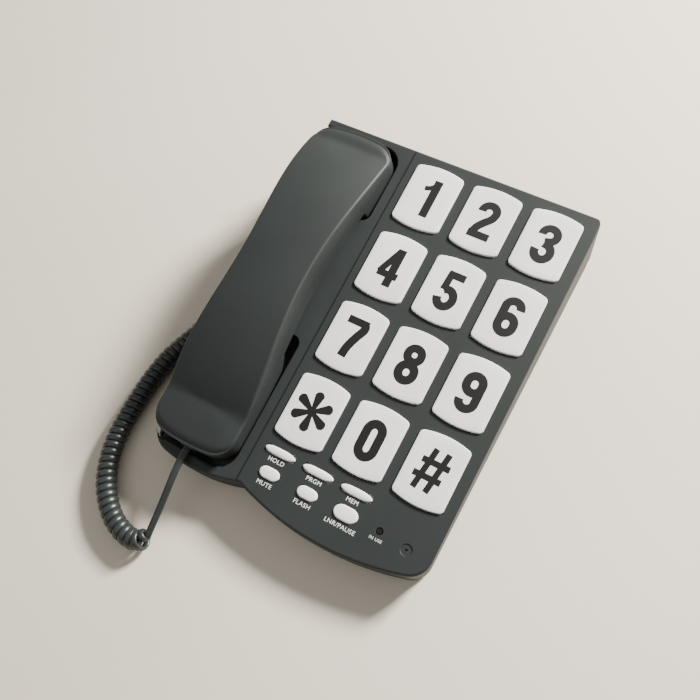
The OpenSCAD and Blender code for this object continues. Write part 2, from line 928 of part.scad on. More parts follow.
// Side view: x runs along the handset and y is the height above the face
module handset_side(inset) {
    y0 = mouth_end + inset;
    y1 = ear_end - inset;
    soft = 2;
    top = [for (i = [side_steps:-1:0])
        let(y = y0 + soft + (y1 - y0 - 2 * soft) * i / side_steps)
        [y, handset_h + handset_arch * arched(y) - inset]];
    polygon(concat(
        [
            [y0, -mouth_depth + seat_gap + inset + 3],
            [y0 + 3, -mouth_depth + seat_gap + inset],
            [mouth_stop - 12 - step_back - inset, -mouth_depth + seat_gap + inset],
            [mouth_stop - 12 - inset / 2, handle_under + inset],
            [ear_start + 2 + inset / 2, handle_under + inset],
            [ear_start + 2 + step_back / 4 + inset, -ear_depth + seat_gap + inset],
            [y1 - 3, -ear_depth + seat_gap + inset],
            [y1, -ear_depth + seat_gap + inset + 3],
            [y1, handset_h - soft - inset]
        ],
        top,
        [[y0, handset_h - soft - inset]]
    ));
}

module handset_body(inset) {
    intersection() {
        union() {
            translate([0, 0, -sill + 1.5 + inset])
                linear_extrude(80)
                    handset_plan(inset);
            translate([0, 0, -40])
                linear_extrude(80)
                    handset_plan(inset + cup_inset);
        }
        translate([-base_w, 0, 0])
            rotate([90, 0, 90])
                linear_extrude(2 * base_w)
                    handset_side(inset);
    }
}

module handset_half(above) {
    translate([-base_w, -base_d, above ? handset_seam : handset_seam - 100])
        cube([2 * base_w, 2 * base_d, 100]);
}

module handset_back_shell() {
    color(charcoal)
        on_face()
            difference() {
                union() {
                    difference() {
                        intersection() {
                            handset_body(0);
                            handset_half(true);
                        }
                        handset_body(handset_wall);
                    }
                    intersection() {
                        for (y = handset_boss_y)
                            translate([handset_x, y, handle_under + handset_wall + 0.1])
                                cylinder(d = boss_d, h = 30, $fn = 40);
                        handset_body(handset_wall / 2);
                    }
                }
                for (y = handset_boss_y)
                    translate([handset_x, y, handle_under])
                        cylinder(d = screw_d + 2 * screw_play, h = 10, $fn = 32);
            }
}

receiver_d = 30;
receiver_t = 9;
receiver_floor = -ear_depth + seat_gap + handset_wall;
mic_d = 9.6;
mic_t = 6;
mic_floor = -mouth_depth + seat_gap + handset_wall;
boot_t = 1.5;
end_port_y = mouth_end + handset_wall + 0.3;
ear_y = ear_start + 24;
mouth_y = end_port_y + plug_size.y + port_wall + mic_d / 2 + boot_t;

module handset_face_shell() {
    color(charcoal)
        on_face()
            difference() {
                intersection() {
                    handset_body(0);
                    handset_half(false);
                }
                handset_body(handset_wall);
                // listening holes: one in the middle and a ring of eight
                translate([handset_x, ear_y, -ear_depth - past])
                    cylinder(d = 2, h = handset_wall + 2 * past, $fn = 24);
                for (i = [0:7])
                    translate([handset_x + 6 * cos(45 * i), ear_y + 6 * sin(45 * i),
                               -ear_depth - past])
                        cylinder(d = 2, h = handset_wall + 2 * past, $fn = 24);
                for (x = [-3, 0, 3])
                    translate([handset_x + x, mouth_y, -mouth_depth - past])
                        cylinder(d = 1.6, h = handset_wall + 2 * past, $fn = 24);
                for (y = handset_boss_y) {
                    translate([handset_x, y, handle_under - past])
                        cylinder(d = screw_d + 2 * screw_play, h = handset_wall + 2 * past,
                                 $fn = 32);
                    translate([handset_x, y, handle_under - past])
                        cylinder(d = screw_head_d + 0.4, h = past + head_well, $fn = 32);
                }
                translate([handset_x - plug_size.x / 2 - 0.4, mouth_end - past,
                           handset_port_h - plug_size.z / 2 - 0.4])
                    cube([plug_size.x + 0.8, handset_wall + 2 * past, plug_size.z + 0.8]);
            }
}

module receiver_gasket() {
    color("#1c1c1c")
        on_face()
            translate([handset_x, ear_y, receiver_floor])
                difference() {
                    cylinder(d = receiver_d, h = 1.2, $fn = 64);
                    translate([0, 0, -past])
                        cylinder(d = receiver_d - 8, h = 4, $fn = 64);
                }
}

module receiver_capsule() {
    color("#8c8f90")
        on_face()
            translate([handset_x, ear_y, receiver_floor + 1.2])
                cylinder(d = receiver_d, h = receiver_t, $fn = 64);
}

module microphone_boot() {
    color("#1c1c1c")
        on_face()
            translate([handset_x, mouth_y, mic_floor])
                difference() {
                    cylinder(d = mic_d + 2 * boot_t, h = mic_t, $fn = 48);
                    translate([0, 0, -past])
                        cylinder(d = mic_d + 0.1, h = mic_t + 2 * past, $fn = 48);
                }
}

module microphone_capsule() {
    color(steel)
        on_face()
            translate([handset_x, mouth_y, mic_floor + 0.2])
                cylinder(d = mic_d, h = mic_t - 0.4, $fn = 48);
}

module handset_weight() {
    color(steel)
        on_face()
            translate([handset_x - 8, handset_y - 17, handle_under + handset_wall])
                cube([16, 58, 6]);
}

module handset_end_port() {
    color("#2a2a2a")
        on_face()
            translate([handset_x, end_port_y, handset_port_h])
                socket_body(plug_mouth, plug_size.y - 1.5);
}

module handset_screws() {
    color(steel)
        on_face()
            for (y = handset_boss_y)
                translate([handset_x, y, handle_under + head_well - screw_head_t])
                    screw(screw_d, handset_wall + screw_grip, screw_head_d, screw_head_t);
}

// --- Cord ---------------------------------------------------------------

// A modular plug along +y, with its cable end at the origin
module modular_plug() {
    difference() {
        translate([-plug_size.x / 2, 0, -plug_size.z / 2])
            cube(plug_size);
        for (i = [-1.5:1:1.5])
            translate([i * 1.25 - 0.3, plug_size.y - 5, plug_size.z / 2 - 0.6])
                cube([0.6, 4, past]);
    }
}

module plug_handset() {
    color("#33383a")
        on_face()
            translate([handset_x, mouth_end - plug_stands, handset_port_h])
                modular_plug();
}

module plug_base() {
    color("#33383a")
        translate([-half_w + lean(base_port_z) + 0.4, base_port_y, base_port_z])
            rotate([0, 0, -90])
                modular_plug();
}

function unit(v) = v / norm(v);

// Smooth curve through the route's points, with that many steps between two
function curve_point(p, i, t) =
    let(
        last = len(p) - 1,
        a = p[max(i - 1, 0)],
        b = p[i],
        c = p[min(i + 1, last)],
        d = p[min(i + 2, last)]
    )
    0.5 * (2 * b + (c - a) * t + (2 * a - 5 * b + 4 * c - d) * t * t
           + (3 * b - a - 3 * c + d) * t * t * t);

function smooth(p, steps) = concat(
    [for (i = [0:len(p) - 2], k = [0:steps - 1]) curve_point(p, i, k / steps)],
    [p[len(p) - 1]]
);

function direction(p, i) = unit(p[min(i + 1, len(p) - 1)] - p[max(i - 1, 0)]);

// One ring of the sweep: w wide across the route, t thick upwards
function ring(p, i, w, t, sides) =
    let(
        along = direction(p, i),
        across = unit(cross([0, 0, 1], along)),
        up = cross(along, across)
    )
    [for (k = [0:sides - 1])
        let(a = 360 * (k + 0.5) / sides)
        p[i] + across * (w / 2 * cos(a)) + up * (t / 2 * sin(a))];

module swept_tube(p, w, t, sides) {
    n = len(p);
    points = [for (i = [0:n - 1]) each ring(p, i, w, t, sides)];
    walls = [for (i = [0:n - 2], k = [0:sides - 1])
        let(a = i * sides + k, b = i * sides + (k + 1) % sides)
        each [[a, b, b + sides], [a, b + sides, a + sides]]];
    first = [for (k = [1:sides - 2]) [0, k + 1, k]];
    start = (n - 1) * sides;
    last = [for (k = [1:sides - 2]) [start, start + k, start + k + 1]];
    polyhedron(points, concat(walls, first, last));
}

module cord_coil() {
    color("#2b302f")
        swept_tube(smooth(coil_route, 2), coil_d, coil_d, 12);
}

module lead_handset() {
    color("#2b302f")
        swept_tube(smooth(lead_handset_route, 2), lead_w, lead_t, 8);
}

module lead_base() {
    color("#2b302f")
        swept_tube(smooth(lead_base_route, 3), lead_w, lead_t, 8);
}

// --- The whole telephone ------------------------------------------------

base_top_shell();
base_bottom_shell();
key_1();
key_2();
key_3();
key_4();
key_5();
key_6();
key_7();
key_8();
key_9();
key_star();
key_0();
key_hash();
hold_button();
program_button();
memory_button();
mute_button();
flash_button();
redial_button();
key_mat();
keypad_board();
main_board();
ribbon_cable();
in_use_lamp();
ringer_speaker();
hook_plunger();
hook_spring();
hook_switch();
handset_port();
line_port();
ringer_slider();
dial_slider();
slider_bodies();
rubber_feet();
base_screws();
board_screws();
handset_back_shell();
handset_face_shell();
receiver_capsule();
receiver_gasket();
microphone_capsule();
microphone_boot();
handset_weight();
handset_end_port();
handset_screws();
plug_handset();
lead_handset();
cord_coil();
lead_base();
plug_base();
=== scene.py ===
import json
import math

import bmesh
import bpy
from mathutils import Matrix, Vector
from mathutils.geometry import delaunay_2d_cdt


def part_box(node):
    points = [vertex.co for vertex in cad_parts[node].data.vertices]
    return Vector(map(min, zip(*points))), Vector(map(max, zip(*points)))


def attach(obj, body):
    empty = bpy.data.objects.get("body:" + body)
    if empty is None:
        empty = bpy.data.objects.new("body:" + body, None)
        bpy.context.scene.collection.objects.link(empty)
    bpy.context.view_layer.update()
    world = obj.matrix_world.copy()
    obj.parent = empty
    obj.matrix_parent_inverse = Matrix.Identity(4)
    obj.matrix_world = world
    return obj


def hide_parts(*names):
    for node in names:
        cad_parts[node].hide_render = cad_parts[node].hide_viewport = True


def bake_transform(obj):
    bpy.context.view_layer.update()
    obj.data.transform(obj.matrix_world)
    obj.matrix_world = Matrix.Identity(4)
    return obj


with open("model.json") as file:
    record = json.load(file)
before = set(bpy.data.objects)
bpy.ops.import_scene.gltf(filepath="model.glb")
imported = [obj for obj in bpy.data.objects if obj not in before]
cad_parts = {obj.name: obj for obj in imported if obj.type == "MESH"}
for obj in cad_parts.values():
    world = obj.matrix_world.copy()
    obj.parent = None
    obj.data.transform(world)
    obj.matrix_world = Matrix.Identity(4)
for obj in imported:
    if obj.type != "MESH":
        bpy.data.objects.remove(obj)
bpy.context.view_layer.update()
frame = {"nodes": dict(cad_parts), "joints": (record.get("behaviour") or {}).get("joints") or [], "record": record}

# A big-button desk telephone. Lengths are in millimetres until a mesh is made,
# and "face" coordinates are x to the right, y up the slope and z out of it.

MM = 0.001
NODES = frame["nodes"]
BODIES = frame["record"]["behaviour"]["bodies"]
BODY_OF = {node: body for body, nodes in BODIES.items() for node in nodes}
SLOT_OF = {part["node"]: part["material_slot"] for part in frame["record"]["subparts"]}

# --- The sloping face -----------------------------------------------------

UP = Vector(next(j["axis"] for j in frame["joints"] if j["name"] == "handset_lift"))
BASE_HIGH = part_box("base_top_shell")[1] / MM
FACE = Matrix((
    (1, 0, 0, 0),
    (0, UP.z, UP.y, 0),
    (0, -UP.y, UP.z, BASE_HIGH.z + BASE_HIGH.y * UP.y / UP.z),
    (0, 0, 0, 1),
))
WORLD = Matrix.Identity(4)


def face_points(node):
    """The points of a CAD node, in face coordinates."""
    back = FACE.inverted()
    return [back @ (v.co / MM) for v in NODES[node].data.vertices]


def extent(points):
    """The lowest and highest corners of some points."""
    low = Vector([min(p[i] for p in points) for i in range(3)])
    high = Vector([max(p[i] for p in points) for i in range(3)])
    return low, high


def flat_top(node):
    """Middle, width and length of a node's flat top, on the face."""
    points = face_points(node)
    top = max(p.z for p in points)
    low, high = extent([p for p in points if p.z > top - 0.01])
    return (low + high) / 2, high.x - low.x, high.y - low.y


# The groove between the keypad's side and the handset's side
SPLIT_X = flat_top("key_5")[0].x - 56
GROOVE_W = 1.1
GROOVE_DEPTH = 0.9
WELD = 2e-6  # points closer than this, in metres, are one

# --- Outlines ---------------------------------------------------------------

def arc(x, y, rx, ry, a0, a1, n):
    """n + 1 points of an ellipse's arc, in degrees."""
    angles = [math.radians(a0 + (a1 - a0) * i / n) for i in range(n + 1)]
    return [Vector((x + rx * math.cos(a), y + ry * math.sin(a))) for a in angles]


def bowed_end(hw, reach, bow_r, r, n):
    """The far end of an outline: corners of radius r joined by a bowed arc."""
    fx = hw - r
    fy = math.sqrt((bow_r - r) ** 2 - fx * fx)
    cy = reach - bow_r
    a = math.degrees(math.atan2(fy, fx))
    right = arc(fx, cy + fy, r, r, 0, a, 8)
    bow = arc(0, cy, bow_r, bow_r, a, 180 - a, n)[1:-1]
    left = arc(-fx, cy + fy, r, r, 180 - a, 180, 8)
    return right + bow + left


def key_outline(w, l, inset, bow=2.3, r=2.5):
    """A digit key seen from above, drawn smaller by inset."""
    radius = (w * w / 4 + bow * bow) / (2 * bow)
    end = bowed_end(w / 2 - inset, l / 2 - inset, radius - inset, r - inset, 14)
    return end + [-p for p in end]


def bar_outline(w, l, inset):
    """A small button: a bar whose ends are ellipses, longer ones if it is slim."""
    run = min(l * (1.6 if w > 3 * l else 0.62), w / 2)
    dx = w / 2 - run
    right = arc(dx, 0, run - inset, l / 2 - inset, -90, 90, 20)
    left = arc(-dx, 0, run - inset, l / 2 - inset, 90, 270, 20)
    return right + left


def smoothed(p, steps):
    """A smooth curve through some points, as the CAD model draws its cords."""
    curve = []
    last = len(p) - 1
    for i in range(last):
        a, b, c, d = p[max(i - 1, 0)], p[i], p[i + 1], p[min(i + 2, last)]
        for k in range(steps):
            t = k / steps
            curve.append(0.5 * (2 * b + (c - a) * t + (2 * a - 5 * b + 4 * c - d) * t * t
                                + (3 * b - a - 3 * c + d) * t ** 3))
    return curve + [p[last]]


# --- Meshes -----------------------------------------------------------------

class Shape:
    """Points in millimetres, and the faces between them."""

    def __init__(self):
        self.points = []
        self.faces = []

    def loop(self, points):
        start = len(self.points)
        self.points.extend(points)
        return list(range(start, len(self.points)))

    def level(self, outline, z):
        """A loop at one height."""
        return self.loop([Vector((p.x, p.y, z)) for p in outline])

    def skirt(self, loops):
        """Quads between each closed loop and the next."""
        for a, b in zip(loops, loops[1:]):
            n = len(a)
            for i in range(n):
                j = (i + 1) % n
                self.faces.append((a[i], a[j], b[j], b[i]))

    def cap(self, loop):
        self.faces.append(tuple(loop))


def piece(name, shape, body, slot, place=FACE, crease=35):
    """Makes a shape into an object that rides on a body, in its slot's finish."""
    mesh = bpy.data.meshes.new(name)
    mesh.from_pydata([(place @ p.to_3d()) * MM for p in shape.points], [], shape.faces)
    bm = bmesh.new()
    bm.from_mesh(mesh)
    bmesh.ops.remove_doubles(bm, verts=bm.verts, dist=WELD)
    bmesh.ops.recalc_face_normals(bm, faces=bm.faces)
    bm.to_mesh(mesh)
    bm.free()
    return dressed(name, mesh, body, slot, crease)


def dressed(name, mesh, body, slot, crease):
    """An object with smooth shading up to the crease angle, and its finish."""
    mesh.shade_smooth()
    mesh.set_sharp_from_angle(angle=math.radians(crease))
    mesh.materials.clear()
    mesh.materials.append(finishes[slot])
    obj = bpy.data.objects.new(name, mesh)
    bpy.context.scene.collection.objects.link(obj)
    if body:
        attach(obj, body)
    return obj


def fill_groove(bm):
    """Moves the points of the groove's floor up to its rims, so that it closes."""
    back = FACE.inverted()
    near = [(v, back @ (v.co / MM)) for v in bm.verts]
    near = [(v, p) for v, p in near if abs(p.x - SPLIT_X) < GROOVE_W and abs(p.z) < 1.2]
    rims = [v for v, p in near if p.z > -0.05]
    for v, p in near:
        if p.z <= -0.05:
            v.co = min(rims, key=lambda r: (r.co - v.co).length).co
    bmesh.ops.remove_doubles(bm, verts=bm.verts, dist=WELD)


def cut_groove(mesh):
    """Cuts the groove between the keypad's side and the handset's side."""
    shape = Shape()
    w = GROOVE_W / 2
    section = [(-w - 0.5, 0.5), (-w, 0), (-w + 0.15, -GROOVE_DEPTH),
               (w - 0.15, -GROOVE_DEPTH), (w, 0), (w + 0.5, 0.5)]
    ends = [shape.loop([Vector((SPLIT_X + x, y, z)) for x, z in section])
            for y in (-150, 150)]
    shape.skirt(ends)
    shape.cap(ends[0])
    shape.cap(ends[1])
    cutter = piece("groove_cutter", shape, None, "charcoal_plastic")
    draft = bpy.data.objects.new("draft", mesh)
    bpy.context.scene.collection.objects.link(draft)
    cut = draft.modifiers.new("groove", "BOOLEAN")
    cut.operation = "DIFFERENCE"
    cut.solver = "MANIFOLD"
    cut.object = cutter
    graph = bpy.context.evaluated_depsgraph_get()
    result = bpy.data.meshes.new_from_object(draft.evaluated_get(graph))
    bpy.data.objects.remove(draft)
    bpy.data.objects.remove(cutter)
    return result


def softened(name, node, groups, crease=30, before=None, after=None):
    """A CAD node with rounded edges: each group tests an edge's middle and gives a radius."""
    bm = bmesh.new()
    bm.from_mesh(NODES[node].data)
    bmesh.ops.remove_doubles(bm, verts=bm.verts, dist=WELD)
    if before:
        before(bm)
    bmesh.ops.dissolve_limit(bm, angle_limit=math.radians(0.6), verts=bm.verts,
                             edges=bm.edges)
    clean = bpy.data.meshes.new(name)
    clean.from_pydata([v.co for v in bm.verts], [],
                      [[v.index for v in f.verts] for f in bm.faces])
    bm.free()
    back = FACE.inverted()
    bm = bmesh.new()
    bm.from_mesh(clean)
    for belongs, radius in groups:
        edges = [e for e in bm.edges if len(e.link_faces) == 2
                 and e.calc_face_angle(0) > math.radians(40)
                 and belongs(back @ ((e.verts[0].co + e.verts[1].co) / 2 / MM))]
        bmesh.ops.bevel(bm, geom=edges, offset=radius * MM, offset_type="OFFSET", segments=4,
                        profile=0.5, affect="EDGES", clamp_overlap=False, loop_slide=True)
    bm.to_mesh(clean)
    bm.free()
    if after:
        clean = after(clean)
    obj = dressed(name, clean, BODY_OF[node], SLOT_OF[node], crease)
    even = obj.modifiers.new("even_shading", "WEIGHTED_NORMAL")
    even.keep_sharp = True
    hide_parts(node)


# --- Finishes ---------------------------------------------------------------

class Value:
    """A socket in a finish. Arithmetic on it adds Math nodes."""

    def __init__(self, finish, socket):
        self.finish = finish
        self.socket = socket

    def _math(self, operation, a, b):
        return self.finish.node("ShaderNodeMath", {"operation": operation}, {0: a, 1: b})

    def __add__(self, other):
        return self._math("ADD", self, other)

    def __radd__(self, other):
        return self._math("ADD", other, self)

    def __sub__(self, other):
        return self._math("SUBTRACT", self, other)

    def __mul__(self, other):
        return self._math("MULTIPLY", self, other)


class Finish:
    """A material built on a Principled shader, whose constants are given by name."""

    def __init__(self, name, **constants):
        self.material = bpy.data.materials.new(name)
        self.material.use_nodes = True
        self.nodes = self.material.node_tree.nodes
        self.links = self.material.node_tree.links
        self.shader = self.nodes["Principled BSDF"]
        for socket, value in constants.items():
            self.shader.inputs[socket.replace("_", " ")].default_value = value
        self.place = self.node("ShaderNodeTexCoord", {}, {}, "Object")

    def node(self, kind, settings, inputs, output=0):
        """Adds a node: its settings, then the values or links of its sockets."""
        node = self.nodes.new(kind)
        for key, value in settings.items():
            setattr(node, key, value)
        for socket, value in inputs.items():
            self._feed(node.inputs[socket], value)
        return Value(self, node.outputs[output])

    def _feed(self, socket, value):
        if isinstance(value, Value):
            self.links.new(value.socket, socket)
        else:
            socket.default_value = value

    def feed(self, socket, value):
        self._feed(self.shader.inputs[socket], value)

    def noise(self, per_mm, detail=2.0, place=None):
        """Noise from 0 to 1 with about that many blobs in a millimetre."""
        return self.node("ShaderNodeTexNoise", {}, {
            "Vector": place or self.place,
            "Scale": per_mm / MM,
            "Detail": detail,
        }, "Fac")

    def cells(self, per_mm):
        """Distance to the middle of the nearest of some scattered cells."""
        return self.node("ShaderNodeTexVoronoi", {}, {
            "Vector": self.place,
            "Scale": per_mm / MM,
        }, "Distance")

    def stretched(self, x, y, z):
        """Coordinates stretched along each axis."""
        return self.node("ShaderNodeVectorMath", {"operation": "MULTIPLY"},
                         {0: self.place, 1: (x, y, z)})

    def step(self, value, low, high):
        """0 below low, 1 above high, smooth between."""
        return self.node("ShaderNodeMapRange", {"interpolation_type": "SMOOTHSTEP"}, {
            "Value": value, "From Min": low, "From Max": high,
        })

    def mix(self, factor, a, b):
        """Colour a where the factor is 0, b where it is 1."""
        return self.node("ShaderNodeMix", {"data_type": "RGBA"}, {
            "Factor": factor, 6: a, 7: b,
        }, 2)

    def bump(self, height, depth, below=None):
        """Relief of that depth in millimetres, on top of another."""
        inputs = {"Height": height, "Distance": depth * MM}
        if below:
            inputs["Normal"] = below
        return self.node("ShaderNodeBump", {}, inputs)


def toned(colour, factor):
    return (*(c * factor for c in colour), 1)


def moulded(name, colour, rough, grain, depth, scuffed=0.15):
    """Injection-moulded plastic: spark-eroded grain, faint flow marks, a few scuffs."""
    f = Finish(name, Specular_IOR_Level=0.4)
    flow = f.noise(0.03, 3)
    coarse = f.noise(grain, 3)
    fine = f.cells(grain * 2.2)
    scuffs = f.step(f.noise(0.5, 5, f.stretched(1, 0.1, 0.6)), 0.62, 0.78)
    drift = f.mix(f.step(flow, 0.3, 0.7), toned(colour, 0.92), toned(colour, 1.08))
    speckle = f.mix(f.step(coarse, 0.35, 0.75) * 0.6, drift, toned(colour, 1.22))
    f.feed("Base Color", f.mix(scuffs * scuffed, speckle, toned(colour, 1.6)))
    f.feed("Roughness", rough + (coarse - 0.5) * 0.16 - scuffs * scuffed * 0.5)
    f.feed("Normal", f.bump(fine, depth * 0.5, f.bump(coarse, depth)))
    return f.material


def rubbery(name, colour, rough):
    """Rubber or silicone: dull, with dust in its texture."""
    f = Finish(name, Specular_IOR_Level=0.3)
    grain = f.noise(3, 4)
    dust = f.step(f.noise(0.4, 5), 0.5, 0.75)
    f.feed("Base Color", f.mix(dust * 0.25, toned(colour, 1), toned(colour, 1.9)))
    f.feed("Roughness", rough + (grain - 0.5) * 0.2)
    f.feed("Normal", f.bump(grain, 0.03))
    return f.material


def metal(name, colour, rough, along):
    """Plated steel with drawn lines and a few dull spots."""
    f = Finish(name, Metallic=1.0)
    lines = f.noise(1.2, 3, f.stretched(*along))
    spots = f.step(f.noise(0.6, 4), 0.55, 0.8)
    f.feed("Base Color", f.mix(spots * 0.5, toned(colour, 1), toned(colour, 0.6)))
    f.feed("Roughness", rough + lines * 0.2 + spots * 0.15)
    f.feed("Normal", f.bump(lines, 0.004))
    return f.material


def circuit_board():
    """Green solder mask over copper tracks."""
    f = Finish("circuit_board", Specular_IOR_Level=0.5)
    tracks = f.step(f.cells(0.35), 0.42, 0.46)
    mottle = f.noise(0.2, 4)
    mask = f.mix(mottle, (0.012, 0.075, 0.03, 1), (0.02, 0.11, 0.045, 1))
    f.feed("Base Color", f.mix(tracks, mask, (0.05, 0.2, 0.07, 1)))
    f.feed("Roughness", 0.3 + mottle * 0.15)
    f.feed("Normal", f.bump(tracks, 0.03))
    return f.material


def ribbon():
    """Grey ribbon cable with its wires showing as ridges."""
    f = Finish("ribbon")
    wires = f.node("ShaderNodeTexWave", {"wave_type": "BANDS", "bands_direction": "X"}, {
        "Vector": f.place, "Scale": 0.25 / MM,
    }, "Fac")
    f.feed("Base Color", f.mix(wires, (0.16, 0.16, 0.17, 1), (0.3, 0.3, 0.31, 1)))
    f.feed("Roughness", 0.5 + f.noise(1) * 0.1)
    f.feed("Normal", f.bump(wires, 0.2))
    return f.material


def lens():
    """A dark lamp lens, smoky with a red core."""
    f = Finish("lamp", Coat_Weight=0.6, Coat_Roughness=0.05)
    haze = f.noise(1.5, 3)
    f.feed("Base Color", f.mix(haze, (0.004, 0.002, 0.002, 1), (0.010, 0.003, 0.003, 1)))
    f.feed("Roughness", 0.16 + haze * 0.1)
    return f.material


def sheath():
    """Smooth cord sheath with the faint lines of its die and a little dust."""
    colour = (0.020, 0.025, 0.024)
    f = Finish("cord_sheath", Specular_IOR_Level=0.55)
    drift = f.noise(0.15, 4)
    dust = f.step(f.noise(1.6, 5), 0.55, 0.8)
    grain = f.noise(5, 3)
    tone = f.mix(drift, toned(colour, 0.85), toned(colour, 1.2))
    f.feed("Base Color", f.mix(dust * 0.2, tone, toned(colour, 2.6)))
    f.feed("Roughness", 0.36 + (drift - 0.5) * 0.12 + dust * 0.15)
    f.feed("Normal", f.bump(grain, 0.012))
    return f.material


finishes = {
    "charcoal_plastic": moulded("charcoal_plastic", (0.0165, 0.0205, 0.0200), 0.55, 2.0, 0.035),
    "key_plastic": moulded("key_plastic", (0.80, 0.80, 0.785), 0.5, 2.4, 0.012, 0.02),
    "button_plastic": moulded("button_plastic", (0.84, 0.84, 0.82), 0.5, 3.0, 0.012, 0.02),
    "black_plastic": moulded("black_plastic", (0.0015, 0.0015, 0.0015), 0.6, 3.0, 0.01, 0.0),
    "plug_plastic": moulded("plug_plastic", (0.030, 0.034, 0.034), 0.3, 1.5, 0.01),
    "rubber": rubbery("rubber", (0.018, 0.018, 0.018), 0.85),
    "silicone": rubbery("silicone", (0.42, 0.44, 0.42), 0.6),
    "circuit_board": circuit_board(),
    "ribbon": ribbon(),
    "lamp": lens(),
    "speaker_can": metal("speaker_can", (0.45, 0.46, 0.46), 0.25, (1, 1, 8)),
    "steel": metal("steel", (0.55, 0.55, 0.56), 0.2, (1, 8, 1)),
    "cord_sheath": sheath(),
}

# --- Camera -----------------------------------------------------------------

CAMERA_AT = Vector((0.1395, -0.1567, 0.4676))
CAMERA_AIM = Vector((-0.0043, -0.0138, 0.0372))
CAMERA_ROLL = -17.43
VIEW_ANGLE = 43.4


def place_camera():
    data = bpy.data.cameras.new("camera")
    data.sensor_width = 36
    data.lens = data.sensor_width / 2 / math.tan(math.radians(VIEW_ANGLE / 2))
    camera = bpy.data.objects.new("camera", data)
    turn = (CAMERA_AIM - CAMERA_AT).to_track_quat("-Z", "Y").to_matrix().to_4x4()
    roll = Matrix.Rotation(math.radians(CAMERA_ROLL), 4, "Z")
    camera.matrix_world = Matrix.Translation(CAMERA_AT) @ turn @ roll
    bpy.context.scene.collection.objects.link(camera)
    bpy.context.scene.camera = camera


place_camera()

# --- Cord -------------------------------------------------------------------

# The same points as the CAD model's cord, along its middle
COIL_ROUTE = [
    (-96.5, -18, 10.5), (-99.5, -29, 9), (-103, -37.5, 7.4), (-106.5, -46, 6.5),
    (-109.6, -56, 6.2), (-111.3, -70, 6.2), (-111.5, -84, 6.2),
    (-111, -98, 6.2), (-109.5, -111, 6.2), (-106, -123, 6.2),
    (-100.5, -134, 6.2), (-93, -143, 6.2), (-84, -150, 6.2),
    (-74, -154, 6.3), (-64.5, -154.5, 7), (-59, -150.5, 9),
]
HANDSET_LEAD = [
    (-60.2, -99.5, 24.6), (-60, -105, 24.6), (-59.6, -112, 24),
    (-59.2, -119, 22), (-59, -127, 18.6), (-59, -135, 15),
    (-59, -143, 12), (-59, -150.5, 9),
]
BASE_LEAD = [
    (-96.5, -18, 10.5), (-97.5, -10, 13), (-97, -2.5, 15.8), (-94, 2.5, 17.6),
    (-90, 4, 18.4), (-84.6, 4, 18.5),
]
COIL_D = 12
LEAD_W = 4.2
LEAD_T = 2.4
COIL_PITCH = 4.25
TURN_STEPS = 24
CORD_SIDES = 12


def evenly(points, count):
    """That many points spread evenly along a line, ends included."""
    run = [0.0]
    for a, b in zip(points, points[1:]):
        run.append(run[-1] + (b - a).length)
    spread = []
    k = 0
    for i in range(count):
        at = run[-1] * i / (count - 1)
        while k < len(run) - 2 and run[k + 1] < at:
            k += 1
        t = (at - run[k]) / (run[k + 1] - run[k])
        spread.append(points[k].lerp(points[k + 1], t))
    return spread, run[-1]


def directions(points):
    """The unit direction of a line at each of its points."""
    last = len(points) - 1
    return [(points[min(i + 1, last)] - points[max(i - 1, 0)]).normalized()
            for i in range(len(points))]


def helix(route):
    """The coil's line, and the side of the flat lead that faces along the coil."""
    length = evenly(route, 2)[1]
    turns = round(length / COIL_PITCH)
    count = turns * TURN_STEPS + 1
    axis, _ = evenly(route, count)
    along = directions(axis)
    radius = (COIL_D - LEAD_T) / 2
    out = along[0].orthogonal().normalized()
    line = []
    for i, (middle, tangent) in enumerate(zip(axis, along)):
        out = (out - tangent * out.dot(tangent)).normalized()
        angle = 2 * math.pi * i / TURN_STEPS
        fade = min(1.0, i / TURN_STEPS * 1.6, (count - 1 - i) / TURN_STEPS * 1.6)
        swell = fade * fade * (3 - 2 * fade)
        spoke = out * math.cos(angle) + tangent.cross(out) * math.sin(angle)
        line.append(middle + spoke * radius * swell)
    return line, along


def lead(route, count):
    """A straight lead's line, and its flat side."""
    line, _ = evenly(smoothed(route, 8), count)
    return line, [Vector((0, 0, 1)).cross(d).normalized() for d in directions(line)]


def cord_line():
    """The whole cord from the handset to the base: its line and its flat side."""
    first, first_side = lead([Vector(p) for p in HANDSET_LEAD], 40)
    coil_route = smoothed([Vector(p) for p in reversed(COIL_ROUTE)], 12)
    turns, turns_side = helix(coil_route)
    last, last_side = lead([Vector(p) for p in BASE_LEAD], 20)
    line = first[:-1] + turns + last[1:]
    side = first_side[:-1] + turns_side + last_side[1:]
    for _ in range(6):
        side = [(side[max(i - 1, 0)] + s * 2 + side[min(i + 1, len(side) - 1)]).normalized()
                for i, s in enumerate(side)]
    return line, side


def make_cord():
    line, side = cord_line()
    shape = Shape()
    loops = []
    for point, tangent, hint in zip(line, directions(line), side):
        wide = (hint - tangent * hint.dot(tangent)).normalized()
        thin = tangent.cross(wide)
        ring = []
        for k in range(CORD_SIDES):
            a = 2 * math.pi * k / CORD_SIDES
            ring.append(point + wide * LEAD_W / 2 * math.cos(a) + thin * LEAD_T / 2 * math.sin(a))
        loops.append(shape.loop(ring))
    shape.skirt(loops)
    shape.cap(loops[0])
    shape.cap(loops[-1])
    cord = piece("curly_cord", shape, None, "cord_sheath", WORLD, 60)
    length = sum((b - a).length for a, b in zip(line, line[1:])) * MM
    line[0] * MM
    [p * MM for p in line]
    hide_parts("lead_handset", "cord_coil", "lead_base")
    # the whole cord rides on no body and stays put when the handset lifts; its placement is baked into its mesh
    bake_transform(cord)


make_cord()

# --- Base shells ------------------------------------------------------------

RIM = 1.6
LIP = 0.35


